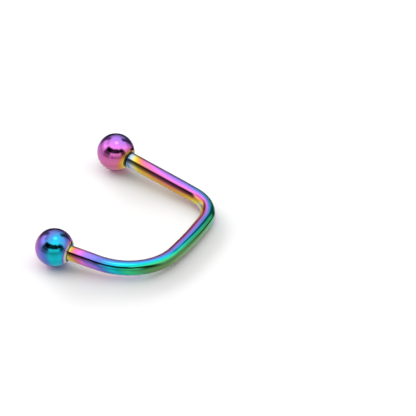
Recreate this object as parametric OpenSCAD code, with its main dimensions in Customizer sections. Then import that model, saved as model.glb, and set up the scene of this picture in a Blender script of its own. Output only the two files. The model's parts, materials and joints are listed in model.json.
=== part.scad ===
// A lip hoop: one bent wire with a screw-on ball on each end. It lies as it would
// by itself, on its two balls and the lowest point of the wire.
// The hoop is drawn flat first, with the long leg along +X, then leaned to its rest.

/* [Wire] */
// Diameter of the wire
wire_d = 1.2; // [1:0.1:1.6]
// Straight stretch of the long leg, from its shoulder to the first bend
long_leg = 6.75; // [6:0.05:12]
// Radius of the first bend, to the middle of the wire
first_bend_r = 2.75; // [2.25:0.05:5]
// Angle of the first bend
first_bend_deg = 75.5; // [70:0.1:80]
// Radius of the bowed side, to the middle of the wire
side_r = 28; // [20:1:60]
// Angle of the bowed side
side_deg = 10.5; // [8:0.1:14]
// Radius of the second bend, to the middle of the wire
second_bend_r = 4.7; // [3:0.1:6]
// Angle of the second bend
second_bend_deg = 80.3; // [72:0.1:86]
// Straight stretch of the short leg, from the second bend to its shoulder
short_leg = 2.5; // [1.5:0.1:6]
// How much thinner the wire's radius is in its two tight bends
bend_thin = 0.02; // [0.02:0.01:0.04]

/* [Balls] */
// Diameter of each ball
ball_d = 3; // [2.8:0.1:4]
// Diameter of the countersunk mouth, where it breaks the ball's surface
mouth_d = 1.4; // [1.36:0.01:1.5]

/* [Thread] */
// Distance from one crest to the next
pitch = 0.25; // [0.2:0.01:0.25]
// Number of crests on each post
crests = 4; // [3:1:4]
// How far the crests stand in from the wire's surface
crest_inset = 0.045; // [0.04:0.005:0.06]
// Radial gap between the post's crests and the bore
bore_gap = 0.015; // [0.015:0.005:0.02]
// Gap along the axis where the shoulder meets the countersink
seat_gap = 0.01; // [0.01:0.005:0.03]

/* [Hidden] */
$fn = 120;
arc_fn = 360;
wire_fn = 72;

wire_r = wire_d / 2;
bend_wire_r = wire_r - bend_thin;
// How far each bend runs on inside its neighbours, so that they are one solid
lap = 0.1;
ball_r = ball_d / 2;
mouth_r = mouth_d / 2;

// A 60 degree thread: its depth, the run of one flank and the flats at crest and root
depth_share = 0.6134;
thread_depth = depth_share * pitch;
flank_deg = 30;
flank = thread_depth * tan(flank_deg);
crest_flat = pitch / 8;
root_flat = pitch - 2 * flank - crest_flat;
crest_r = wire_r - crest_inset;
core_r = crest_r - thread_depth;

// Each leg narrows a little over its last stretch, so that it enters the countersink
entry_len = 0.35;
entry_narrowing = 0.015;
entry_r = wire_r - entry_narrowing;

// The post behind the shoulder: a 45 degree chamfer, a plain neck, the crests and a
// chamfered end
shoulder_chamfer = 0.1;
neck = 0.05;
end_chamfer = 0.05;
post_len = shoulder_chamfer + neck + crests * pitch + end_chamfer;

// The bore in each ball, measured from the ball's middle towards the mouth. Its grooves
// are shallower than the post's, and a 45 degree countersink opens it
bore_r = crest_r + bore_gap;
groove_share = 0.6;
groove_r = bore_r + groove_share * thread_depth;
groove_flank = groove_share * flank;
mouth_z = sqrt(ball_r * ball_r - mouth_r * mouth_r);
cone_z = mouth_z - (mouth_r - bore_r);
seat = mouth_z - (mouth_r - entry_r) + seat_gap;
end_room = 0.08;
bore_floor = seat - post_len - end_room;
drill_point_deg = 118;
drill_tip = bore_r / tan(drill_point_deg / 2);
past_mouth = 0.5;

// The run of the wire in its own plane. A heading turns clockwise, so it counts down
function unit(a) = [cos(a), sin(a)];
function bend_end(p, heading, r, deg) =
    p + r * (unit(heading - 90) + unit(heading - deg + 90));
first_start = [long_leg, 0];
side_start = bend_end(first_start, 0, first_bend_r, first_bend_deg);
side_turn = first_bend_deg + side_deg;
second_start = bend_end(side_start, -first_bend_deg, side_r, side_deg);
short_start = bend_end(second_start, -side_turn, second_bend_r, second_bend_deg);
short_heading = -side_turn - second_bend_deg;
short_end = short_start + short_leg * unit(short_heading);

// The point where the wire has turned by a given angle
function wire_at(turn) =
    turn < first_bend_deg ? bend_end(first_start, 0, first_bend_r, turn)
    : turn < side_turn ? bend_end(side_start, -first_bend_deg, side_r, turn - first_bend_deg)
    : bend_end(second_start, -side_turn, second_bend_r, turn - side_turn);

// The lean: the hoop turns about the line through the ball middles until the wire's
// furthest point from that line touches the surface
back_mid = [-seat, 0];
front_mid = short_end + seat * unit(short_heading);
span = front_mid - back_mid;
span_heading = atan2(span.y, span.x);
along = unit(span_heading);
across = unit(span_heading + 90);
reach = (wire_at(-span_heading) - back_mid) * across;
lean = asin((ball_r - wire_r) / reach);

// The middle of the leaned hoop's box, from the back ball's middle
east = along.x * along + across.x * cos(lean) * across;
east_turn = 90 - atan2(east.y, east.x);
east_x = (wire_at(east_turn) - back_mid) * east + bend_wire_r;
box_mid = [(east_x - ball_r) / 2, span.y / 2];

module at_rest() {
    translate([-box_mid.x, -box_mid.y, ball_r])
        rotate(a = -lean, v = [along.x, along.y, 0])
            translate([-back_mid.x, -back_mid.y, 0])
                children();
}

module at(p, heading) {
    translate([p.x, p.y, 0])
        rotate([0, 0, heading])
            children();
}

// An arc of wire that leaves the origin along +X and turns right through deg, with
// lap_deg more at each end
module arc(r, deg, tube_r, lap_deg = 0) {
    translate([0, -r, 0])
        rotate([0, 0, 90 - deg - lap_deg])
            rotate_extrude(angle = deg + 2 * lap_deg, $fn = arc_fn)
                translate([r, 0])
                    circle(r = tube_r, $fn = wire_fn);
}

// A tight bend, which laps into the stretches before and after it
module tight_bend(r, deg) {
    arc(r, deg, bend_wire_r, lap * 180 / (PI * r));
}

// A straight leg along +X that ends in its shoulder and threaded post
module leg(len) {
    shoulder_z = len + shoulder_chamfer;
    crest_points = [
        for (i = [0 : crests - 1])
            let (z = shoulder_z + neck + i * pitch + root_flat / 2)
                each [
                    [core_r, z],
                    [crest_r, z + flank],
                    [crest_r, z + flank + crest_flat],
                    [core_r, z + 2 * flank + crest_flat]
                ]
    ];
    rotate([0, 90, 0])
        rotate_extrude()
            polygon(concat(
                [[0, 0], [wire_r, 0], [wire_r, len - entry_len], [entry_r, len],
                 [entry_r - shoulder_chamfer, shoulder_z], [core_r, shoulder_z]],
                crest_points,
                [[core_r, len + post_len - end_chamfer],
                 [core_r - end_chamfer, len + post_len],
                 [0, len + post_len]]));
}

// The countersunk and tapped bore, from the ball's middle along +Z
module bore() {
    groove_points = [
        for (i = [0 : crests - 1])
            let (z = bore_floor + end_room + i * pitch)
                each [
                    [bore_r, z],
                    [groove_r, z + groove_flank],
                    [groove_r, z + groove_flank + crest_flat],
                    [bore_r, z + 2 * groove_flank + crest_flat]
                ]
    ];
    rotate_extrude()
        polygon(concat(
            [[0, bore_floor - drill_tip], [bore_r, bore_floor]],
            groove_points,
            [[bore_r, cone_z],
             [mouth_r + past_mouth, mouth_z + past_mouth],
             [0, mouth_z + past_mouth]]));
}

// A ball with its middle at the origin and its mouth towards +X
module ball() {
    rotate([0, 90, 0])
        difference() {
            sphere(r = ball_r);
            bore();
        }
}

module bar() {
    color("mediumorchid")
        at_rest()
            union() {
                at(first_start, 180) leg(long_leg);
                at(first_start, 0) tight_bend(first_bend_r, first_bend_deg);
                at(side_start, -first_bend_deg) arc(side_r, side_deg, wire_r);
                at(second_start, -side_turn) tight_bend(second_bend_r, second_bend_deg);
                at(short_start, short_heading) leg(short_leg);
            }
}

module back_ball() {
    color("orchid")
        at_rest()
            at(back_mid, 0)
                ball();
}

module front_ball() {
    color("deepskyblue")
        at_rest()
            at(front_mid, short_heading + 180)
                ball();
}

bar();
back_ball();
front_ball();
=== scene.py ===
# %% [markdown]
# A lip hoop: one bent wire with a small ball screwed onto each end. It is polished
# like a mirror, and a very thin film on the metal colours it from gold through pink,
# violet and blue to green.
# The packed CAD model is loaded first and never moved. Everything else is built around
# it, in metres and in the same frame, so each piece goes exactly where the CAD says.

# %% Load the fixed frame
import json

import bpy
import numpy as np
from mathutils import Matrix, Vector


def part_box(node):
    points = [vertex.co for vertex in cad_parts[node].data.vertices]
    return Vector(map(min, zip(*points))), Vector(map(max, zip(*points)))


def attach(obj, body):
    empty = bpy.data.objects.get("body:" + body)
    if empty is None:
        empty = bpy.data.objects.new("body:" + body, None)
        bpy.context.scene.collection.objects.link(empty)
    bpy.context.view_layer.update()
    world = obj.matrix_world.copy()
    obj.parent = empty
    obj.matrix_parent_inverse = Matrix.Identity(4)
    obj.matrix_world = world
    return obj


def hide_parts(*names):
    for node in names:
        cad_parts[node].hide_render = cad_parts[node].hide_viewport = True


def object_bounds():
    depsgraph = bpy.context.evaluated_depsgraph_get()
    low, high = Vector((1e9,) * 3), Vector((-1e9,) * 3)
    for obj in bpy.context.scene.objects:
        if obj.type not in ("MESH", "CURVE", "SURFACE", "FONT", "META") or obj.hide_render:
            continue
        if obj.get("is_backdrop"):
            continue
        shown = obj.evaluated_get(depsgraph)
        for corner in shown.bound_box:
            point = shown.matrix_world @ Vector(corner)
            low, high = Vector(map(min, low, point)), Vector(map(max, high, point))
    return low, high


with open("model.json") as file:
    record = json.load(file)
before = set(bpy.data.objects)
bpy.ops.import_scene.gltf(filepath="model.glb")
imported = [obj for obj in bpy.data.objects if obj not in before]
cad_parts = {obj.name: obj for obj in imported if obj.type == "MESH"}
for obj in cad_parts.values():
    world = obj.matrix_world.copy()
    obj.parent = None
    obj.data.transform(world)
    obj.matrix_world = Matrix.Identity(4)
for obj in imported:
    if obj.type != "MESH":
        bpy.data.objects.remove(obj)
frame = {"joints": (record.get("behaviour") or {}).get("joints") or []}  # only frame["joints"] is kept here: the joints of the record's behaviour
cad_low, cad_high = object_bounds()
MM = 0.001

# %% [markdown]
# The photograph is taken from a good way off with a long lens, so the hoop hardly
# tapers. A camera can be pushed about by hand until the picture fits, but here it is
# written as a point on the floor, a direction and a distance, which can be read and
# corrected one at a time. The view transform is Standard, because a product picture
# keeps its clean white and its strong colours, which a photographic curve would grey.

# %% Camera
LOOK_AT = np.array([3.974, 6.551, 0.0]) * MM
TOWARDS_CAMERA = np.array([0.4944, -0.6404, 0.5878])
CAMERA_DISTANCE = 305.4 * MM
LENS_MM, SENSOR_MM = 334.3, 36.0
NEAREST, FURTHEST = 0.01, 10.0


def unit(vector):
    """The vector divided by its own length."""
    return np.asarray(vector, float) / np.linalg.norm(vector)


camera = bpy.data.objects.new("camera", bpy.data.cameras.new("camera"))
bpy.context.scene.collection.objects.link(camera)
camera.data.lens = LENS_MM
camera.data.sensor_width = SENSOR_MM
camera.data.clip_start = NEAREST
camera.data.clip_end = FURTHEST
camera.location = LOOK_AT + CAMERA_DISTANCE * unit(TOWARDS_CAMERA)
camera.rotation_mode = "QUATERNION"
camera.rotation_quaternion = Vector(-TOWARDS_CAMERA).to_track_quat("-Z", "Y")
bpy.context.scene.camera = camera
bpy.context.scene.view_settings.view_transform = "Standard"
print("camera at", [round(v, 4) for v in camera.location])

# %% [markdown]
# The hoop was drawn flat and then leaned, so a flat drawing needs a place to stand.
# That place could be typed in as three angles. It is safer to ask the frame: the two
# joints pull the balls straight off the wire's ends, so their axes lie in the hoop's
# plane. The first gives the long leg's direction, and the two together give the
# plane's normal. The back ball's middle is the point that all is measured from.

# %% The hoop's own plane
BALL_R = 1.5
axes = {joint["name"]: unit(joint["axis"]) for joint in frame["joints"]}
along_leg = -axes["back_ball_off"]
plane_up = unit(np.cross(axes["front_ball_off"], along_leg))
plane_up *= np.sign(plane_up[2])
across_leg = np.cross(plane_up, along_leg)
back_mid = np.array(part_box("back_ball")[0]) + BALL_R * MM
front_mid = np.array(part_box("front_ball")[0]) + BALL_R * MM
print("the plane leans", round(float(np.degrees(np.arccos(plane_up[2]))), 3), "degrees")

# %% [markdown]
# The wire's middle line is a run of five stretches: a straight leg, a bend, a long and
# slightly bowed side, a second bend and a short leg. A curve object could be drawn
# through them, but then its arcs would only be near the real ones. One formula serves
# them all. Each stretch adds its own step, an arc or a straight line, for as much of it
# as has been walked, so the whole line is a sum and needs no search for the stretch
# that a point is in. The distances are those of the CAD, in millimetres.

# %% The run of the wire
LONG_LEG, SHORT_LEG = 6.75, 2.5
BENDS = [(2.75, 75.5), (28.0, 10.5), (4.7, 80.3)]
stretches = [(LONG_LEG, 0.0)]
stretches += [(np.radians(turn) * radius, np.radians(turn)) for radius, turn in BENDS]
stretches += [(SHORT_LEG, 0.0)]
WIRE_LENGTH = sum(length for length, turn in stretches)


def walk(distance):
    """The flat place and the heading of the wire's middle at a distance from the back
    shoulder. Each stretch adds the chord of the part walked, which is the length
    walked times the mean of the heading, shortened by sin(half turn) / (half turn)."""
    place = np.zeros(distance.shape + (2,))
    heading = np.zeros(distance.shape)
    start = 0.0
    last = len(stretches) - 1
    for number, (length, turn) in enumerate(stretches):
        low = -np.inf if number == 0 else 0.0
        high = np.inf if number == last else length
        walked = np.clip(distance - start, low, high)
        half = 0.5 * turn * walked / length
        chord = walked * np.sinc(half / np.pi)
        middle = heading - half
        place += chord[..., None] * np.stack([np.cos(middle), np.sin(middle)], -1)
        heading = heading - 2.0 * half
        start += length
    return place, heading


print("wire from shoulder to shoulder:", round(WIRE_LENGTH, 3), "mm")

# %% [markdown]
# Each end of the wire is turned down to a threaded post, and each ball has a tapped
# hole with a countersunk mouth. The post's shoulder sits in that mouth, a hair clear
# of it. These few sizes settle where the shoulder is, and so where the flat drawing
# begins. The walk is then checked: it has to arrive at the front ball.

# %% Sizes of the ends
WIRE_R, BEND_THIN = 0.6, 0.02
PITCH, CRESTS = 0.25, 4
CREST_R, CORE_R, BORE_R = 0.555, 0.402, 0.57
ENTRY_R, ENTRY_LEN = 0.585, 0.35
SHOULDER_CHAMFER, NECK, END_CHAMFER = 0.1, 0.05, 0.05
MOUTH_R, SEAT_GAP = 0.7, 0.01
POST_LEN = SHOULDER_CHAMFER + NECK + CRESTS * PITCH + END_CHAMFER
MOUTH_Z = np.sqrt(BALL_R**2 - MOUTH_R**2)
SEAT = MOUTH_Z - (MOUTH_R - ENTRY_R) + SEAT_GAP


def stand(flat, height=0.0):
    """Flat millimetres, and a height over the hoop's plane, as points of the frame:
    the back ball's middle + (x + seat) * along the leg + y * across it + height * up."""
    flat = np.asarray(flat, float)
    east = flat[..., :1] + SEAT
    points = east * along_leg + flat[..., 1:] * across_leg
    return back_mid + MM * (points + np.asarray(height)[..., None] * plane_up)


end_place, end_heading = walk(np.array([WIRE_LENGTH + SEAT]))
miss = np.linalg.norm(stand(end_place)[0] - front_mid) / MM
print("the walk misses the front ball's middle by", round(float(miss), 4), "mm")

# %% [markdown]
# Every piece here is a closed skin: a grid of points whose columns go round and whose
# rows go along, with one point more at each end to close it. Lathing or sweeping tools
# could make such skins, but a grid keeps every point's place in the formula, so that
# the film can be worked out point for point. One helper turns a grid into a mesh. It
# stores the film, a number that says how far along its order of colours the film has
# got, and a UV map that runs along and round the piece, for marks that follow it.

# %% Helper: a closed skin from a grid
def closed_skin(name, grid, first_pole, last_pole, film):
    """A mesh of quads between the grid's neighbours and of triangles to the poles.
    A row goes round against the clock, seen from the last pole, so each face turns
    outwards. film has one value for each grid point and one for each pole."""
    rows, columns = grid.shape[:2]
    poles = rows * columns
    points = np.concatenate([grid.reshape(-1, 3), [first_pole, last_pole]])
    index = np.arange(poles).reshape(rows, columns)
    beside = np.roll(index, -1, axis=1)
    quads = np.stack([index[:-1], beside[:-1], beside[1:], index[1:]], -1).reshape(-1, 4)
    first = np.full(columns, poles)
    start = np.stack([first, beside[0], index[0]], -1)
    stop = np.stack([first + 1, index[-1], beside[-1]], -1)
    mesh = bpy.data.meshes.new(name)
    faces = quads.tolist() + start.tolist() + stop.tolist()
    mesh.from_pydata(points.tolist(), [], faces)
    mesh.polygons.foreach_set("use_smooth", np.ones(len(faces), bool))

    store = mesh.attributes.new("film", "FLOAT", "POINT")
    store.data.foreach_set("value", np.asarray(film, np.float32))

    layer = mesh.uv_layers.new(name="round")
    layer.data.foreach_set("uv", along_and_round(mesh, rows, columns).ravel())
    mesh.update()
    piece = bpy.data.objects.new(name, mesh)
    bpy.context.scene.collection.objects.link(piece)
    print(name, "has", len(points), "points and", 2 * len(quads) + 2 * columns, "triangles")
    return piece


def along_and_round(mesh, rows, columns):
    """A UV for each face corner: its row's and its column's share of the grid. The last
    face of a row ends at 1 instead of 0, and a pole's corner lies halfway across its
    own face."""
    poles = rows * columns
    corner = np.zeros(len(mesh.loops), np.int32)
    mesh.loops.foreach_get("vertex_index", corner)
    sizes = np.full(len(mesh.polygons), 4)
    sizes[-2 * columns:] = 3
    side = np.repeat(np.arange(len(sizes)) % columns, sizes)
    row, column = np.divmod(corner, columns)
    row = np.where(corner == poles, 0, np.minimum(row, rows - 1))
    column = column + columns * ((side == columns - 1) & (column == 0))
    column = np.where(corner >= poles, side + 0.5, column)
    return np.stack([row / (rows - 1), column / columns], -1).astype(np.float32)


print("each skin will carry its film as an attribute, and a UV map named round")

# %% [markdown]
# A turned part has corners, but never perfectly sharp ones: the polishing wheel rounds
# them, and the thin bright line on a rounded corner is what makes it look real. A
# Bevel modifier could do it afterwards, but it would also blunt the thread. So the
# corners of a profile are rounded before it is spun, and points are added between
# them, so that smooth shading has rows to work with.

# %% Helper: a profile with softened corners
STEPS = np.linspace(0.0, 1.0, 6)
MOST_OF_A_SIDE = 0.45
SAME_PLACE = 1e-6


def soften(profile, reach):
    """Replaces each inner corner by a curve that leaves one side at a distance reach
    before the corner and joins the other as far after it: the start times (1 - t)^2,
    the corner times 2 t (1 - t) and the end times t^2, added up."""
    profile = np.asarray(profile, float)
    corner = profile[1:-1]
    back, ahead = profile[:-2] - corner, profile[2:] - corner
    back_len = np.linalg.norm(back, axis=1, keepdims=True)
    ahead_len = np.linalg.norm(ahead, axis=1, keepdims=True)
    start = corner + back * np.minimum(reach / back_len, MOST_OF_A_SIDE)
    stop = corner + ahead * np.minimum(reach / ahead_len, MOST_OF_A_SIDE)
    t = STEPS[None, :, None]
    curve = start[:, None] * (1 - t) ** 2 + corner[:, None] * 2 * t * (1 - t)
    curve = curve + stop[:, None] * t**2
    return np.concatenate([profile[:1], curve.reshape(-1, 2), profile[-1:]])


def fill(profile, step):
    """The profile with points added, so that no two neighbours are further apart than
    step. The points lie on the straight lines between the profile's own."""
    lengths = np.linalg.norm(np.diff(profile, axis=0), axis=1)
    travel = np.concatenate([[0.0], np.cumsum(lengths)])
    even = np.arange(0.0, travel[-1], step)
    every = np.unique(np.concatenate([travel, even]))
    every = every[np.concatenate([[True], np.diff(every) > SAME_PLACE])]
    return np.stack([np.interp(every, travel, profile[:, k]) for k in (0, 1)], -1)


square = fill(soften([[0, 0], [1, 0], [1, 1]], 0.1), 0.25)
print("a square corner becomes", len(square), "points")

# %% [markdown]
# Thickness, thread and film all change over a short stretch and never jump, because
# nothing on polished and coloured metal has a ruled edge. Two small functions do it
# everywhere: one eases from 0 to 1, and one rises and falls again.

# %% Helper: eased steps
def ease(value, low, high):
    """0 below low, 1 above high, and the smooth step t * t * (3 - 2 * t) between."""
    t = np.clip((np.asarray(value, float) - low) / (high - low), 0.0, 1.0)
    return t * t * (3 - 2 * t)


def hill(value, start, full, fade, end):
    """Eases from 0 to 1 between start and full, and back to 0 between fade and end."""
    return ease(value, start, full) * (1.0 - ease(value, fade, end))


print("a hill from 0 to 3, at its middle:", hill(1.5, 0, 1, 2, 3))

# %% [markdown]
# A screw thread is one ridge that winds round the post like a ramp. Blender's Screw
# modifier could wind one, but its ends would stay open. Walking once round raises the
# ridge by one pitch, so its height depends only on the distance along the post less
# the share of the turn, times the pitch. A triangle wave of that number, cut off at
# its top and bottom and then rounded, has the flanks, crests and roots of a real
# thread, and both the post and the tapped holes use it.

# %% Helper: the thread's ridge
FLANK_STEEPNESS = 1.41


def ridge(along, around):
    """0 in the thread's root and 1 on its crest, for a place along the axis in
    millimetres and an angle round it: half of 1 plus the sine of a cut triangle wave
    of (along / pitch - angle / full turn)."""
    phase = along / PITCH - around / (2 * np.pi)
    triangle = 4 * np.abs(phase - np.floor(phase) - 0.5) - 1
    cut = np.clip(FLANK_STEEPNESS * triangle, -1, 1)
    return 0.5 + 0.5 * np.sin(0.5 * np.pi * cut)


one_pitch = ridge(np.linspace(0.0, PITCH, 9), 0.0)
print("the ridge over one pitch:", np.round(one_pitch, 2))

# %% [markdown]
# The bar is one skin from post to post. Its rows are made for one end, from the tip of
# the post to where the leg has its full width, then for the wire between, and the end
# is used again turned round. Two tight bends are drawn a hair thinner, as bent wire
# is. Only the radius changes from point to point, so the bar is a single formula of the
# distance along it and the angle round it.

# %% The bar's rows
THREAD_STEP, ROW_STEP = 0.0125, 0.09
POST_CORNER = 0.02
THINNING_RUN = 1.2
end_profile = [
    [-POST_LEN, 0.0],
    [-POST_LEN, CORE_R - END_CHAMFER],
    [-POST_LEN + END_CHAMFER, CORE_R],
    [-SHOULDER_CHAMFER, CORE_R],
    [-SHOULDER_CHAMFER, ENTRY_R - SHOULDER_CHAMFER],
    [0.0, ENTRY_R],
    [ENTRY_LEN, WIRE_R],
]
end_rows = fill(soften(end_profile, POST_CORNER), THREAD_STEP)[1:]
between = np.arange(ENTRY_LEN + ROW_STEP, WIRE_LENGTH - ENTRY_LEN, ROW_STEP)
reached = np.cumsum([length for length, turn in stretches])


def thinning(distance):
    """How much thinner the wire is: BEND_THIN inside the two tight bends, eased to
    nothing over a short run before and after each."""
    bends = (reached[0], reached[1]), (reached[2], reached[3])
    hills = [hill(distance, a - THINNING_RUN, a, b, b + THINNING_RUN) for a, b in bends]
    return BEND_THIN * sum(hills)


distance = np.concatenate([end_rows[:, 0], between, WIRE_LENGTH - end_rows[::-1, 0]])
radius = np.concatenate([end_rows[:, 1], WIRE_R - thinning(between), end_rows[::-1, 1]])
print("the bar has", len(distance), "rows")

# %% [markdown]
# The thread is added to the rows of the two posts. It grows out of the neck over a
# third of a millimetre, and a chamfer cuts it away at the tip, so that the ball's hole
# finds it easily. The angle round the wire counts from the hoop's outer face, and a
# quarter turn is its upper side.

# %% The bar's surface
BAR_COLUMNS = 112
THREAD_GROWTH = 0.3
THREAD_DEPTH = CREST_R - CORE_R
around = np.linspace(0, 2 * np.pi, BAR_COLUMNS, endpoint=False)
from_shoulder = np.minimum(distance, WIRE_LENGTH - distance)
at_back = distance < 0.5 * WIRE_LENGTH
beyond = -from_shoulder - SHOULDER_CHAMFER - NECK
growth = ease(beyond, 0.0, THREAD_GROWTH)
room = np.clip(CRESTS * PITCH - beyond, 0.0, THREAD_DEPTH)
hand = np.where(at_back, 1.0, -1.0)
height = THREAD_DEPTH * ridge(beyond[:, None], hand[:, None] * around[None, :])
height = np.minimum(height * growth[:, None], room[:, None])
bar_r = radius[:, None] + height

# each point is the middle line + r * (cos(angle) * outward + sin(angle) * up)
place, heading = walk(distance)
outward = np.stack([-np.sin(heading), np.cos(heading)], -1)
flat = place[:, None] + (bar_r * np.cos(around))[..., None] * outward[:, None]
bar_grid = stand(flat, bar_r * np.sin(around))
tip_place, tip_heading = walk(np.array([-POST_LEN, WIRE_LENGTH + POST_LEN]))
bar_tips = stand(tip_place)
print("bar spans", (bar_grid.max((0, 1)) - bar_grid.min((0, 1))) / MM, "mm")

# %% [markdown]
# The colour comes from a film a few hundred millionths of a millimetre thick. Light
# reflected from its top and from the metal below add up or cancel, and which colour is
# left depends only on the thickness. As the film grows, the colours always come in the
# same order: silver, yellow, orange, pink, violet, blue, sky, green. So each point
# holds one number, its place in that order, and one ramp of colours does the rest. A
# painted picture of the colours would be another way, but it would hold no reason.
# In the photograph the film is thickest on the outer face of the bowed side and of the
# second bend, and thinnest on the inner face and just behind the balls.
# It is keyed here at a few stations along the wire: its middle value, how far it
# swings round the wire, and the angle round the wire at which it is thickest.

# %% The film's run along the bar
FINE_STEP, AVERAGED = 0.02, 11
PAST_THE_ENDS = 2.0
STATIONS = np.array([
    # distance, middle, swing, thickest at
    [0.36, -50, 5, 60],
    [0.48, -36, 16, 60],
    [0.66, -27, 20, 55],
    [0.80, -8, 14, 45],
    [1.20, 24, 36, 28],
    [1.50, 62, 54, 18],
    [2.00, 80, 66, 23],
    [3.00, 82, 71, 48],
    [4.00, 92, 76, 50],
    [5.00, 102, 85, 43],
    [6.00, 120, 102, 30],
    [7.00, 147, 140, 17],
    [8.00, 174, 178, 0],
    [9.00, 20, 240, 38],
    [10.5, 85, 205, 25],
    [12.0, 136, 171, 11],
    [16.0, 163, 160, 7],
    [18.0, 175, 135, 7],
    [20.0, 178, 85, 14],
    [21.0, 152, 84, 25],
    [22.0, 125, 62, 50],
    [23.0, 112, 42, 62],
    [24.0, -22, 110, 58],
    [24.3, 9, 12, 60],
])


def keyed(column):
    """The column's value at each of the bar's rows, on straight lines between the
    stations that are then smoothed by a short moving average."""
    fine = np.arange(-PAST_THE_ENDS, WIRE_LENGTH + PAST_THE_ENDS, FINE_STEP)
    line = np.interp(fine, STATIONS[:, 0], STATIONS[:, column])
    padded = np.pad(line, AVERAGED // 2, mode="edge")
    smooth = np.convolve(padded, np.ones(AVERAGED) / AVERAGED, mode="valid")
    return np.interp(distance, fine, smooth)


turned = around[None, :] - np.radians(keyed(3))[:, None]
bar_film = keyed(1)[:, None] + keyed(2)[:, None] * np.cos(turned)
print("keyed film from", round(bar_film.min()), "to", round(bar_film.max()))

# %% [markdown]
# A few places leave that simple run. On the inner face the film never gets thinner
# than straw colour, or ivory in the second half of the first bend. The lower face of the
# bowed side is pulled to a dull green at the end of the order: the side's green film,
# greyed as a painted reflection of the shaded floor below it. Behind the back ball the
# wire ends in a ring of near-black painted shade, the dark seam where wire meets ball,
# and then gold; behind the front ball it ends in cream, with its ring of painted shade
# down in the mouth. The posts are bare steel, because the balls were on when the colour
# was made. Each is a soft mask that pulls the film towards one value.

# %% Where the film leaves its run
# SEAM_SHADE is near-black painted shade for the dark seams where wire and ball meet
SEAM_SHADE, BARE, PALE, IVORY, CREAM = -130.0, -90.0, -48.0, -12.0, -8.0
STRAW, GOLD, FLOOR_REFLECTION_GREEN = 6.0, 30.0, 345.0
NECK_RUN = 1.4
INNER_BEND = 7.6, 8.4, 8.8, 9.4
LOWER_FACE = 9.4, 10.8, 17.0, 19.0
DOWNWARD = -0.05, 0.5
RING_EDGE = 0.03
BARE_FROM, COATED_FROM = -0.12, -0.02
MOUTHS = [
    # rows, colour at the mouth, where it starts to go and has gone, the edges of the ring of
    # painted shade
    (at_back, GOLD, 0.14, 0.17, 0.15, 0.28),
    (~at_back, CREAM, 0.14, 0.24, -0.12, 0.05),
]


def pull(film, value, share):
    """The film moved by a share of the way to a value: film + (value - film) * share."""
    return film + (value - film) * share


thinnest = pull(STRAW, IVORY, hill(distance, *INNER_BEND))[:, None]
on_wire = (from_shoulder > NECK_RUN)[:, None]
bar_film = np.where(on_wire, np.maximum(bar_film, thinnest), bar_film)
# the bowed side's lower face: its green film greyed as a painted reflection of the shaded floor
# below it
facing_down = ease(-np.sin(around), *DOWNWARD)[None, :]
bar_film = pull(bar_film, FLOOR_REFLECTION_GREEN, hill(distance, *LOWER_FACE)[:, None] * facing_down)
for mine, tint, going, gone, shade_start, shade_end in MOUTHS:
    tinted = (1.0 - ease(from_shoulder, going, gone)) * mine
    edges = shade_start, shade_start + RING_EDGE, shade_end, shade_end + RING_EDGE
    bar_film = pull(bar_film, tint, tinted[:, None])
    # a ring of near-black painted shade in the seam between wire and ball
    bar_film = pull(bar_film, SEAM_SHADE, (hill(from_shoulder, *edges) * mine)[:, None])
bare_share = 1.0 - ease(from_shoulder, BARE_FROM, COATED_FROM)
bar_film = pull(bar_film, BARE, bare_share[:, None])
bar_values = np.concatenate([bar_film.ravel(), [BARE, BARE]])
bar = closed_skin("polished_bar", bar_grid, bar_tips[0], bar_tips[1], bar_values)
print("film on the bar from", round(bar_film.min()), "to", round(bar_film.max()))

# %% [markdown]
# A ball is turned on a lathe, so it is a profile spun round its own axis: the round
# outside, the countersunk mouth, the tapped hole and the drill's pointed end. A sphere
# with a hole cut by a Boolean would look the same from far away, but its rim would be
# ragged where the light catches it. The same profile serves both balls.

# %% A ball's profile
OUTSIDE_ROWS, LIP_ROWS = 110, 4
LIP_CORNER, LIP_STEP = 0.03, 0.016
END_ROOM = 0.08
DRILL_POINT_DEG = 118
MOUTH_DEG = np.degrees(np.arcsin(MOUTH_R / BALL_R))
BORE_FLOOR = SEAT - POST_LEN - END_ROOM
DRILL_TIP = BORE_R / np.tan(np.radians(DRILL_POINT_DEG / 2))
CONE_Z = MOUTH_Z - (MOUTH_R - BORE_R)
polar = np.radians(np.linspace(180, MOUTH_DEG, OUTSIDE_ROWS))
outside = BALL_R * np.stack([np.cos(polar), np.sin(polar)], -1)[1:]
inside = np.array([
    [CONE_Z, BORE_R],
    [BORE_FLOOR, BORE_R],
    [BORE_FLOOR - DRILL_TIP, 0.0],
])
lip = soften(np.concatenate([outside[-LIP_ROWS:], inside]), LIP_CORNER)
lathe = np.concatenate([outside[:-LIP_ROWS], fill(lip, LIP_STEP)[:-1]])
print("a ball's profile has", len(lathe), "points")

# %% [markdown]
# Spinning the profile is one multiplication: its height goes along the axis, and its
# radius goes round it. The hole's thread is cut into the wall, so here the ridge makes
# the radius larger, and it fades out before the floor and the countersink.

# %% A ball's surface
BALL_COLUMNS = 128
GROOVE_DEPTH = 0.092
GROOVE_START, GROOVE_END = 0.1, 0.12
ON_THE_WALL = 1e-4


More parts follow.
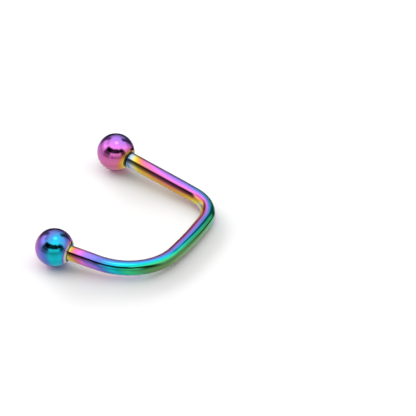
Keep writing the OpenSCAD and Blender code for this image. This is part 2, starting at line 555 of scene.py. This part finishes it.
def spin_ball(middle, axis):
    """The profile's points at middle + z * axis + r * (cos(a) * side + sin(a) * top),
    where side and top are square to the axis and a goes once round. Inside the hole,
    the thread's ridge is added to r."""
    side = unit(np.cross(axis, plane_up))
    top = np.cross(axis, side)
    angle = np.linspace(0, 2 * np.pi, BALL_COLUMNS, endpoint=False)
    z, r = lathe[:, :1], lathe[:, 1:]
    on_wall = np.abs(r - BORE_R) < ON_THE_WALL
    deep = hill(z, BORE_FLOOR, BORE_FLOOR + GROOVE_START, CONE_Z - GROOVE_END, CONE_Z)
    r = r + GROOVE_DEPTH * ridge(z, angle[None, :]) * deep * on_wall
    spoke = np.cos(angle)[:, None] * side + np.sin(angle)[:, None] * top
    grid = z[..., None] * axis + r[..., None] * spoke[None]
    poles = [middle - BALL_R * MM * axis, middle + (BORE_FLOOR - DRILL_TIP) * MM * axis]
    return middle + MM * grid, poles


back_axis, front_axis = -axes["back_ball_off"], -axes["front_ball_off"]
back_grid, back_poles = spin_ball(back_mid, back_axis)
front_grid, front_poles = spin_ball(front_mid, front_axis)
print("a ball's grid:", back_grid.shape)

# %% [markdown]
# On a ball the film follows the angle from the mouth, because the ball was coloured
# while it sat on its wire. The back ball runs from gold at the rim to pink. The front
# ball has a ring of near-black painted shade at its rim, the dark seam where it meets
# the wire, then a ring of silver, and then turns blue at once. Both are thicker towards
# one side, so two swings are keyed too: how much the film gains upwards, and how much
# towards the front.

# %% Keys of the film on the balls
BACK_KEYS = np.array([
    # angle from the mouth, middle, swing upwards, swing to the front
    [28, 15, 14, -14],
    [31.5, 32, 34, -34],
    [36, 55, 40, -40],
    [44, 88, 40, -40],
    [58, 114, 30, -32],
    [90, 122, 28, -30],
    [120, 125, 22, -22],
    [180, 120, 10, -10],
])
FRONT_KEYS = np.array([
    # angle from the mouth, middle, swing upwards, swing to the front
    # the first two rows are near-black painted shade: the dark seam at the rim
    [27.8, -120, 0, 0],
    [28.4, -120, 0, 0],
    [29.2, -12, 0, 0],
    [33.5, -20, 0, 0],
    [35, -30, 0, 0],
    [35.8, -85, 0, 0],
    [36.6, 130, -12, 62],
    [40, 155, -8, 63],
    [45, 181, -6, 68],
    [64, 193, 8, 52],
    [74, 186, 24, 50],
    [82, 168, 34, 55],
    [90, 144, 48, 56],
    [100, 139, 40, 46],
    [110, 133, 32, 40],
    [120, 125, 30, 34],
    [130, 120, 20, 20],
    [145, 120, 5, 5],
    [180, 120, 0, 0],
])
print("keys:", len(BACK_KEYS), "on the back ball and", len(FRONT_KEYS), "on the front ball")

# %% [markdown]
# The hole in a ball has its own finish. The countersink took a pale blue film, and the
# thread inside is bare, since no colour gets that deep. Which part a point belongs to
# is told by its distance from the ball's middle and its height along the axis.

# %% The two balls
SKIN_INNER, SKIN_OUTER = BALL_R - 0.02, BALL_R - 0.004
PALE_FROM = CONE_Z - 0.1


def ball_film(grid, middle, axis, keys):
    """The value keyed by the angle from the mouth, plus two swings times the surface
    direction's shares upwards and towards the front. The countersink is pale and the
    hole is bare."""
    arm = grid - middle
    reach = np.linalg.norm(arm, axis=-1)
    out = arm / reach[..., None]
    angle = np.degrees(np.arccos(np.clip(out @ axis, -1, 1)))
    value, up_swing, front_swing = (
        np.interp(angle, keys[:, 0], keys[:, k]) for k in (1, 2, 3)
    )
    front = unit(np.cross(axis, plane_up))
    front *= -np.sign(front[1])
    value = value + up_swing * (out @ plane_up) + front_swing * (out @ front)
    in_mouth = pull(BARE, PALE, ease(arm @ axis / MM, PALE_FROM, CONE_Z))
    return pull(in_mouth, value, ease(reach / MM, SKIN_INNER, SKIN_OUTER))


def make_ball(name, grid, poles, middle, axis, keys):
    """A finished ball: its spun surface with its film."""
    film = ball_film(grid, middle, axis, keys)
    values = np.concatenate([film.ravel(), [film[0].mean(), BARE]])
    return closed_skin(name, grid, poles[0], poles[1], values)


back_ball = make_ball(
    "polished_back_ball", back_grid, back_poles, back_mid, back_axis, BACK_KEYS
)
front_ball = make_ball(
    "polished_front_ball", front_grid, front_poles, front_mid, front_axis, FRONT_KEYS
)

# %% [markdown]
# Materials are built from nodes. Written out by hand, each node takes several lines,
# so two small classes shorten them. A Value wraps one socket, and adding or
# multiplying Values adds the Math nodes. A Bench makes every other node in one call:
# its type, its settings and what goes into its sockets.

# %% Helper: shader maths as expressions
class Value:
    """A socket that can be used in an expression."""

    def __init__(self, bench, socket):
        self.bench = bench
        self.socket = socket

    def __add__(self, other):
        return self.bench.maths("ADD", self, other)

    def __radd__(self, other):
        return self.bench.maths("ADD", other, self)

    def __sub__(self, other):
        return self.bench.maths("SUBTRACT", self, other)

    def __rsub__(self, other):
        return self.bench.maths("SUBTRACT", other, self)

    def __mul__(self, other):
        return self.bench.maths("MULTIPLY", self, other)

    def __rmul__(self, other):
        return self.bench.maths("MULTIPLY", other, self)


class Bench:
    """Makes nodes in one tree."""

    def __init__(self, tree):
        self.tree = tree
        tree.nodes.clear()

    def node(self, kind, settings=None, sockets=None, out=0):
        """One node of that kind. Its settings are set first, a ramp's stops among
        them, and then each socket gets its value or its link. Returns an output."""
        made = self.tree.nodes.new(kind)
        for name, value in (settings or {}).items():
            if name == "stops":
                self.set_stops(made.color_ramp, value)
            else:
                setattr(made, name, value)
        for name, value in (sockets or {}).items():
            if isinstance(value, Value):
                self.tree.links.new(value.socket, made.inputs[name])
            else:
                made.inputs[name].default_value = value
        return Value(self, made.outputs[out]) if len(made.outputs) else None

    def set_stops(self, ramp, stops):
        """Gives the ramp these stops, each a position and a colour."""
        while len(ramp.elements) < len(stops):
            ramp.elements.new(1.0)
        for element, (position, colour) in zip(ramp.elements, stops):
            element.position = position
            element.color = (*colour, 1.0)

    def maths(self, operation, first, second=0.0):
        """A Math node on one or two values."""
        settings = {"operation": operation}
        return self.node("ShaderNodeMath", settings, {0: first, 1: second})

    def smooth(self, value, low, high):
        """0 below low and 1 above high, eased between."""
        settings = {"interpolation_type": "SMOOTHSTEP"}
        sockets = {"Value": value, "From Min": low, "From Max": high}
        return self.node("ShaderNodeMapRange", settings, sockets)

    def window(self, value, low, high, soft):
        """1 between low and high, and 0 outside, with soft edges."""
        rise = self.smooth(value, low - soft, low + soft)
        return rise - self.smooth(value, high - soft, high + soft)

    def noise(self, vector, scale, detail):
        """A soft noise around one half, at that many cells to the unit."""
        sockets = {"Vector": vector, "Scale": scale, "Detail": detail}
        return self.node("ShaderNodeTexNoise", sockets=sockets)


print("shader maths:", [name for name in vars(Bench) if not name.startswith("_")])

# %% [markdown]
# The film's ramp holds the colours in their order. They are written as they look on a
# screen, and a ramp works in linear light, so each is converted first. Below yellow
# come silver, pale blue, the bare steel of the threads and, last of all, near-black
# painted shade for the dark seams where wire and ball meet.

# %% The film's order of colours
FILM_COLOURS = [
    # place in the order, red, green and blue on a screen
    # near-black: painted shade for the seams between wire and ball
    (-130, (10, 12, 18)),
    (-90, (146, 147, 150)),
    (-68, (150, 158, 168)),
    (-48, (120, 172, 212)),
    (-28, (205, 220, 235)),
    (-10, (238, 236, 200)),
    (2, (249, 236, 88)),
    (22, (250, 192, 74)),
    (45, (248, 160, 105)),
    (65, (246, 140, 158)),
    (92, (248, 130, 200)),
    (118, (250, 135, 243)),
    (140, (200, 130, 243)),
    (168, (150, 140, 250)),
    (190, (105, 138, 225)),
    (215, (62, 180, 238)),
    (235, (32, 220, 243)),
    (250, (28, 210, 195)),
    (270, (70, 230, 155)),
    (290, (88, 180, 118)),
    (325, (125, 158, 95)),
    (350, (146, 166, 136)),
]
FILM_LOW, FILM_HIGH = FILM_COLOURS[0][0], FILM_COLOURS[-1][0]
FILM_SPAN = FILM_HIGH - FILM_LOW


def linear(colour):
    """A screen colour of 0 to 255 in linear light: ((c + 0.055) / 1.055) ^ 2.4, and
    c / 12.92 for the very darkest."""
    share = np.asarray(colour, float) / 255.0
    curved = ((share + 0.055) / 1.055) ** 2.4
    return tuple(np.where(share < 0.04045, share / 12.92, curved))


film_stops = [
    ((order - FILM_LOW) / FILM_SPAN, linear(colour)) for order, colour in FILM_COLOURS
]
print("the film's ramp has", len(film_stops), "stops")

# %% [markdown]
# The finish is polished metal under the film: fully metallic and very smooth. A film
# worked out by physics would slide its colours with the viewing angle more than this
# coat does, and an export would lose it, so the ramp tints the metal instead. Three
# things keep it from looking computed. The film's thickness flutters a little, so the
# colours aren't ruled lines. The polish is hazier in soft patches. And the polishing
# cloth left faint lines along the piece, which a bump follows on the UV map. Bare
# threads are rougher than the polished parts.

# %% The finish
FLUTTER_SCALE, FLUTTER = 900.0, 14.0
HAZE_SCALE, HAZE = 1600.0, 0.035
SMOOTHEST, BARE_ROUGHER = 0.025, 0.2
BARE_UNTIL, COATED_AFTER = -80.0, -55.0
LINE_STRENGTH, LINE_DEPTH = 0.06, 0.00002
BAR_LINES, BALL_LINES = (40.0, 60.0, 1.0), (30.0, 50.0, 1.0)


def film_finish(name, line_counts):
    """A material that turns the stored film value into a polished, coloured metal.
    line_counts says how many cells of the cloth's lines lie along and round it."""
    material = bpy.data.materials.new(name)
    material.use_nodes = True
    bench = Bench(material.node_tree)
    place = bench.node("ShaderNodeTexCoord", out="Object")
    film = bench.node("ShaderNodeAttribute", {"attribute_name": "film"}, out="Fac")

    order = film + (bench.noise(place, FLUTTER_SCALE, 2.0) - 0.5) * FLUTTER
    share = (order - FILM_LOW) * (1.0 / FILM_SPAN)
    colour = bench.node("ShaderNodeValToRGB", {"stops": film_stops}, {"Fac": share})

    bare = 1.0 - bench.smooth(film, BARE_UNTIL, COATED_AFTER)
    haze = bench.noise(place, HAZE_SCALE, 3.0)
    rough = SMOOTHEST + haze * HAZE + bare * BARE_ROUGHER

    round_uv = bench.node("ShaderNodeUVMap", {"uv_map": "round"}, out="UV")
    cells = {"Vector": round_uv, "Scale": line_counts}
    lines = bench.noise(bench.node("ShaderNodeMapping", sockets=cells), 1.0, 2.0)
    relief = {"Strength": LINE_STRENGTH, "Distance": LINE_DEPTH, "Height": lines}
    bump = bench.node("ShaderNodeBump", sockets=relief, out="Normal")
    shader = bench.node(
        "ShaderNodeBsdfPrincipled",
        sockets={"Base Color": colour, "Metallic": 1.0, "Roughness": rough, "Normal": bump},
        out="BSDF",
    )
    bench.node("ShaderNodeOutputMaterial", sockets={"Surface": shader})
    print(name, "has", len(bench.tree.nodes), "nodes")
    return material


bar.data.materials.append(film_finish("bar_film", BAR_LINES))
back_ball.data.materials.append(film_finish("back_ball_film", BALL_LINES))
front_ball.data.materials.append(film_finish("front_ball_film", BALL_LINES))

# %% [markdown]
# Each piece now rides on its CAD body and stands for the CAD node that it shows in full
# detail, which is hidden. So the balls come off along their legs with their threads and
# colours, and the wire stays where it is.

# %% Ride and replace the CAD parts
for piece, body, node, slot in [
    (bar, "hoop", "bar", "bar_film"),
    (back_ball, "back_end", "back_ball", "back_ball_film"),
    (front_ball, "front_end", "front_ball", "front_ball_film"),
]:
    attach(piece, body)
    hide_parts(node)
    print(piece.name, "rides on", body)

# %% [markdown]
# A mirror shows its room, so the room is half of the look. This studio is a bright
# tent: white overhead, greyer at the sides, and open at the front, where the dark of
# the room behind the camera shows as a wide arch. Real walls and lamps could be built
# round the hoop, but it is simpler to paint them on the world by direction: how far
# round from the camera, and how high. Light for the floor comes from the same tent.

# %% Directions in the studio
DEGREES = 180.0 / np.pi
world = bpy.data.worlds.new("studio")
bpy.context.scene.world = world
world.use_nodes = True
tent = Bench(world.node_tree)
overhead = np.array([0.0, 0.0, 1.0])
towards = unit(TOWARDS_CAMERA * [1.0, 1.0, 0.0])
to_right = np.array([-towards[1], towards[0], 0.0])
look = tent.node("ShaderNodeTexCoord", out="Generated")


def share_along(direction):
    """The looking direction's share along a fixed one: their dot product."""
    sockets = {0: look, 1: tuple(direction)}
    return tent.node("ShaderNodeVectorMath", {"operation": "DOT_PRODUCT"}, sockets, "Value")


def way(round_by, high_by):
    """The direction at so many degrees round from the camera and up from the floor:
    cos(up) * (cos(round) * towards + sin(round) * right) + sin(up) * overhead."""
    turn, rise = np.radians(round_by), np.radians(high_by)
    level_way = np.cos(turn) * towards + np.sin(turn) * to_right
    return np.cos(rise) * level_way + np.sin(rise) * overhead


round_deg = tent.maths("ARCTAN2", share_along(to_right), share_along(towards)) * DEGREES
high_deg = tent.maths("ARCSINE", share_along(overhead)) * DEGREES
print("the camera stands towards", np.round(towards, 3))

# %% [markdown]
# The tent's brightness begins as a ramp by height. Its lower half stands for the white
# floor, which the pieces themselves don't see.

# %% The tent from floor to roof
TENT = [
    # degrees up, brightness
    (-90, 0.68),
    (-60, 0.66),
    (-40, 0.8),
    (-20, 0.74),
    (-8, 0.6),
    (3, 0.58),
    (12, 0.78),
    (22, 1.02),
    (33, 1.28),
    (48, 1.28),
    (60, 1.36),
    (90, 1.4),
]
tent_stops = [((high + 90.0) / 180.0, (bright,) * 3) for high, bright in TENT]
from_nadir = {"Fac": (high_deg + 90.0) * (1.0 / 180.0)}
bright = tent.node("ShaderNodeValToRGB", {"stops": tent_stops}, from_nadir)
print("the tent's ramp has", len(tent_stops), "stops")

# %% [markdown]
# Soft-edged patches then darken the walls. The first ones are the arch: a broad band at
# the front, its right end, and its two legs. The next ones are the dark gaps between
# the tent's walls, to the left and to the right of the back, and a few more dim or
# brighten a corner. Cloth hangs unevenly, so a slow noise shifts every edge a little.

# %% Patches on the tent's walls
PATCHES = [
    # left, right, low and high in degrees, and the share of the light that is kept
    (-72, 22, 24, 52, 0.03),
    (10, 56, 24, 46, 0.04),
    (-80, -36, 9, 47, 0.15),
    (-80, -40, -10, 17, 0.5),
    (33, 63, 8, 38, 0.1),
    (33, 66, -4, 14, 0.6),
    (-30, 30, -8, 4, 0.8),
    (-159, -136, -5, 45, 0.2),
    (125, 151, -14, 48, 0.1),
    (-140, -126, -2, 15, 0.6),
    (-176, -158, -14, 19, 0.3),
    (150, 176, -18, 10, 0.5),
    (-142, -97, 37, 56, 0.72),
    (-112, -86, 20, 36, 1.25),
    (106, 128, 12, 33, 0.66),
    (88, 150, -48, -10, 1.3),
]
SOFT_ROUND, SOFT_HIGH = 8.0, 5.0
CLOTH_SCALE, CLOTH_SHIFT = 6.0, 14.0
shift = (tent.noise(look, CLOTH_SCALE, 3.0) - 0.5) * CLOTH_SHIFT
uneven_round, uneven_high = round_deg + shift, high_deg + shift * 0.5
for left, right, low, high, keep in PATCHES:
    across = tent.window(uneven_round, left, right, SOFT_ROUND)
    upright = tent.window(uneven_high, low, high, SOFT_HIGH)
    bright = bright * (1.0 - across * upright * (1.0 - keep))
print("the walls have", len(PATCHES), "patches")

# %% [markdown]
# Three things have shapes of their own. A dark slit runs down the right wall at a
# slant, where two cloths meet. A lamp above the roof makes one bright spot, which is
# the small highlight on top of each ball. And the far corner behind the hoop is dim,
# most of all down at the floor, where the cloth hangs in its own shade.

# %% The slit, the bright spot and the dim corner
SLIT_LEFT, SLIT_RIGHT, SLIT_EDGE = 106.0, 150.0, 6.0
SLIT_PIVOT, SLIT_SLOPE = 112.0, 0.5
SLIT_LOW, SLIT_HIGH, SLIT_SOFT = -11.0, -1.0, 3.0
SPOT_WAY, SPOT_EDGE, SPOT_GAIN = way(130.0, 84.0), (0.975, 0.995), 0.9
CORNER = [
    # where it starts and is full, low, high and softness in degrees, the share taken
    (138.0, 160.0, -14.0, 36.0, 16.0, 0.45),
    (138.0, 160.0, -14.0, 6.0, 12.0, 0.6),
    (158.0, 174.0, -64.0, 2.0, 10.0, 0.92),
]
slanted = high_deg + (round_deg - SLIT_PIVOT) * SLIT_SLOPE
slit = tent.window(round_deg, SLIT_LEFT, SLIT_RIGHT, SLIT_EDGE)
slit = slit * tent.window(slanted, SLIT_LOW, SLIT_HIGH, SLIT_SOFT)
spot = tent.smooth(share_along(SPOT_WAY), *SPOT_EDGE)
bright = bright * (1.0 - slit) * (1.0 + spot * SPOT_GAIN)
from_front = tent.maths("ABSOLUTE", round_deg)
for start, full, low, high, soft, taken in CORNER:
    dim = tent.smooth(from_front, start, full) * tent.window(high_deg, low, high, soft)
    bright = bright * (1.0 - dim * taken)
print("the bright spot is towards", np.round(SPOT_WAY, 2))

# %% [markdown]
# The floor needs one light more. Its soft shadows fall to the front and to the right,
# so a broad lamp stands at the back on the left, low over the floor. A lamp that the
# mirrors could see would spoil the tent, so only rays that leave a dull surface get
# it. The camera itself sees a plain white background.

# %% Light for the floor, and the background
LAMP_ROUND, LAMP_EDGE, LAMP_GAIN = -137.0, (0.45, 0.97), 12.5
LAMP_LOW, LAMP_HIGH, LAMP_SOFT = 13.0, 32.0, 6.0
FLOOR_GAIN, BACKDROP = 0.15, 1.0
seen = tent.node("ShaderNodeLightPath", out="Is Camera Ray")
spread = tent.node("ShaderNodeLightPath", out="Is Diffuse Ray")
lamp = tent.smooth(share_along(way(LAMP_ROUND, 0.0)), *LAMP_EDGE)
lamp = lamp * tent.window(high_deg, LAMP_LOW, LAMP_HIGH, LAMP_SOFT)
lit = bright * (1.0 + spread * FLOOR_GAIN) + spread * lamp * LAMP_GAIN
strength = lit * (1.0 - seen) + seen * BACKDROP
background = tent.node("ShaderNodeBackground", sockets={"Strength": strength}, out="Background")
tent.node("ShaderNodeOutputWorld", sockets={"Surface": background})
print("the studio's world has", len(tent.tree.nodes), "nodes")

# %% [markdown]
# The floor is plain white card, a single square. The mirror-like pieces don't see it,
# because the world's lower half stands for it at the brightness that the photograph's
# reflections have. It only takes the soft shadows. Its white varies by a hair, as
# paper's does, and it has no gloss at all.

# %% The floor
FLOOR_HALF = 0.7
PAPER_SCALE, PAPER_ROUGH = 60.0, 0.9
WARM_WHITE, CLEAN_WHITE = (0.93, 0.925, 0.92, 1.0), (0.95, 0.95, 0.95, 1.0)
floor_mesh = bpy.data.meshes.new("floor")
corners = FLOOR_HALF * np.array([[-1, -1, 0], [1, -1, 0], [1, 1, 0], [-1, 1, 0]], float)
floor_mesh.from_pydata(corners.tolist(), [], [[0, 1, 2, 3]])
floor = bpy.data.objects.new("floor", floor_mesh)
bpy.context.scene.collection.objects.link(floor)
floor.visible_glossy = False
floor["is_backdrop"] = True

card = bpy.data.materials.new("white_card")
card.use_nodes = True
paper = Bench(card.node_tree)
grain = paper.noise(paper.node("ShaderNodeTexCoord", out="Object"), PAPER_SCALE, 2.0)
whites = {0: grain, 6: WARM_WHITE, 7: CLEAN_WHITE}
white = paper.node("ShaderNodeMix", {"data_type": "RGBA"}, whites, out=2)
surface = {"Base Color": white, "Roughness": PAPER_ROUGH, "Specular IOR Level": 0.0}
shader = paper.node("ShaderNodeBsdfPrincipled", sockets=surface, out="BSDF")
paper.node("ShaderNodeOutputMaterial", sockets={"Surface": shader})
floor_mesh.materials.append(card)
print("the floor is", 2 * FLOOR_HALF, "m wide")

# %% Measure the boxes
look_low, look_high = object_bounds()
sizes = {
    "cad": [list(cad_low), list(cad_high)],
    "visual": [list(look_low), list(look_high)],
}
for name, (low, high) in sizes.items():
    print(name, "box in mm:", [round((b - a) / MM, 3) for a, b in zip(low, high)])
